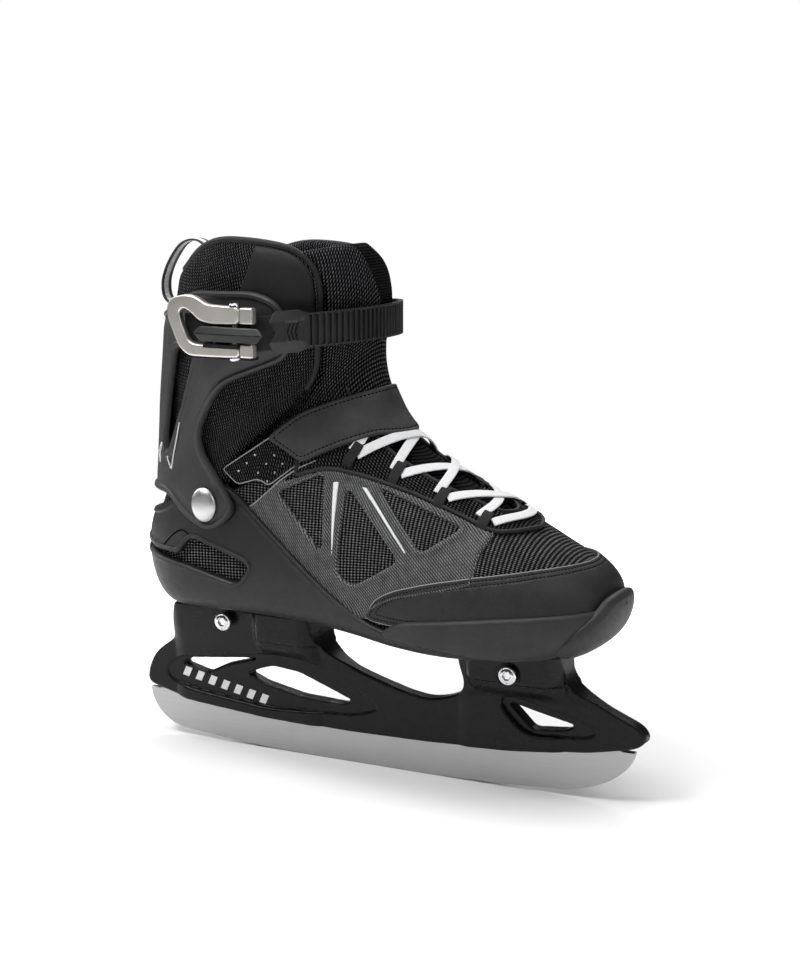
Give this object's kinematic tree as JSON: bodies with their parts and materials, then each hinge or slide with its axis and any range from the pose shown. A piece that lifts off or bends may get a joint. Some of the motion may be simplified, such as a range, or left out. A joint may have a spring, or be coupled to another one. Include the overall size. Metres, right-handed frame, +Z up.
{
  "type": "ice skate",
  "caption": "Soft-boot recreational ice skate for the right foot with a steel runner, moulded holder, laced upper, instep strap and hinged cuff with a ratchet buckle.",
  "frame": {"origin": "middle of the runner's flat stretch, on the ice, in the middle plane of the blade", "axes": "+X towards the toe, +Y to the inner side of the right foot, +Z up"},
  "size_m": [0.315, 0.1327, 0.2955],
  "materials": {
    "ankle_collar": "black mesh over foam",
    "ankle_gusset": "black mesh over foam",
    "blade_holder": "semi-matt moulded",
    "boot_shell": "matt moulded",
    "boot_upper": "black mesh over foam",
    "buckle_base": "fine grained",
    "buckle_cheek_lower": "satin champagne silver",
    "buckle_cheek_upper": "satin champagne silver",
    "buckle_lever": "satin champagne silver",
    "buckle_pin": "polished",
    "buckle_rivet": "polished",
    "cuff": "fine grained",
    "cuff_bush_inner": "fine grained",
    "cuff_bush_outer": "fine grained",
    "cuff_rivet_inner": "polished",
    "cuff_rivet_outer": "polished",
    "front_tower_bolt": "polished",
    "front_tower_nut": "polished",
    "insole": "black mesh over foam",
    "instep_strap": "fine grained synthetic",
    "instep_strap_end": "fine grained synthetic",
    "lace_loop_1_inner": "black mesh over foam",
    "lace_loop_1_outer": "black mesh over foam",
    "lace_loop_2_inner": "black mesh over foam",
    "lace_loop_2_outer": "black mesh over foam",
    "lace_loop_3_inner": "black mesh over foam",
    "lace_loop_3_outer": "black mesh over foam",
    "lace_loop_4_inner": "black mesh over foam",
    "lace_loop_4_outer": "black mesh over foam",
    "ladder_strap": "satin, flexible",
    "pawl_stop_pin": "polished",
    "pull_loop": "black mesh over foam",
    "rear_tower_bolt": "polished",
    "rear_tower_nut": "polished",
    "release_pawl": "fine grained",
    "runner_blade": "fine brushed, matt",
    "shoe_lace": "white flat weave",
    "side_panel_inner": "fine grained synthetic",
    "side_panel_outer": "fine grained synthetic",
    "sole_rand": "smooth matt",
    "strap_anchor": "fine grained",
    "strap_anchor_screw": "polished",
    "strap_patch_inner": "fine grained synthetic",
    "strap_patch_outer": "fine grained synthetic",
    "toe_bumper": "smooth matt",
    "toe_guard": "fine grained synthetic",
    "tongue_lower": "black mesh over foam",
    "tongue_upper": "black mesh over foam"
  },
  "bodies": {
    "boot_body": {"ankle_gusset": "ankle_gusset", "blade_holder": "blade_holder", "boot_shell": "boot_shell", "boot_upper": "boot_upper", "cuff_bush_inner": "cuff_bush_inner", "cuff_bush_outer": "cuff_bush_outer", "cuff_rivet_inner": "cuff_rivet_inner", "cuff_rivet_outer": "cuff_rivet_outer", "front_tower_bolt": "front_tower_bolt", "front_tower_nut": "front_tower_nut", "insole": "insole", "instep_strap": "instep_strap", "lace_loop_1_inner": "lace_loop_1_inner", "lace_loop_1_outer": "lace_loop_1_outer", "lace_loop_2_inner": "lace_loop_2_inner", "lace_loop_2_outer": "lace_loop_2_outer", "lace_loop_3_inner": "lace_loop_3_inner", "lace_loop_3_outer": "lace_loop_3_outer", "lace_loop_4_inner": "lace_loop_4_inner", "lace_loop_4_outer": "lace_loop_4_outer", "rear_tower_bolt": "rear_tower_bolt", "rear_tower_nut": "rear_tower_nut", "runner_blade": "runner_blade", "shoe_lace": "shoe_lace", "side_panel_inner": "side_panel_inner", "side_panel_outer": "side_panel_outer", "sole_rand": "sole_rand", "strap_patch_inner": "strap_patch_inner", "strap_patch_outer": "strap_patch_outer", "toe_bumper": "toe_bumper", "toe_guard": "toe_guard", "tongue_lower": "tongue_lower"},
    "cuff_body": {"cuff": "cuff", "ankle_collar": "ankle_collar", "tongue_upper": "tongue_upper", "pull_loop": "pull_loop", "strap_anchor": "strap_anchor", "strap_anchor_screw": "strap_anchor_screw", "buckle_base": "buckle_base", "buckle_rivet": "buckle_rivet", "buckle_cheek_upper": "buckle_cheek_upper", "buckle_cheek_lower": "buckle_cheek_lower", "buckle_pin": "buckle_pin", "pawl_stop_pin": "pawl_stop_pin"},
    "ladder_body": {"ladder_strap": "ladder_strap"},
    "lever_body": {"buckle_lever": "buckle_lever"},
    "pawl_body": {"release_pawl": "release_pawl"},
    "strap_end_body": {"instep_strap_end": "instep_strap_end"}
  },
  "joints": [
    {"name": "cuff_flex", "type": "hinge", "parent": "boot_body", "child": "cuff_body", "pos_m": [-0.078, 0, 0.149], "axis": [0, 1, 0], "range_deg": [-4, 12], "stiffness_Nm_per_rad": 6, "deforming": ["ankle_gusset"]},
    {"name": "lever_lift", "type": "hinge", "parent": "cuff_body", "child": "lever_body", "pos_m": [-0.044, -0.0655, 0.2434], "axis": [0, 0, 1], "range_deg": [0, 100], "stiffness_Nm_per_rad": 0.05},
    {"name": "pawl_release", "type": "hinge", "parent": "cuff_body", "child": "pawl_body", "pos_m": [-0.044, -0.0655, 0.2434], "axis": [0, 0, 1], "range_deg": [-7, 0], "stiffness_Nm_per_rad": 0.05},
    {"name": "strap_swing", "type": "hinge", "parent": "cuff_body", "child": "ladder_body", "pos_m": [-0.04, 0.0586, 0.2434], "axis": [0, 0, 1], "range_deg": [0, 60]},
    {"name": "strap_peel", "type": "hinge", "parent": "boot_body", "child": "strap_end_body", "pos_m": [0.0026, -0.029, 0.2008], "axis": [-0.45, 0.376, 0.81], "range_deg": [0, 70]}
  ]
}
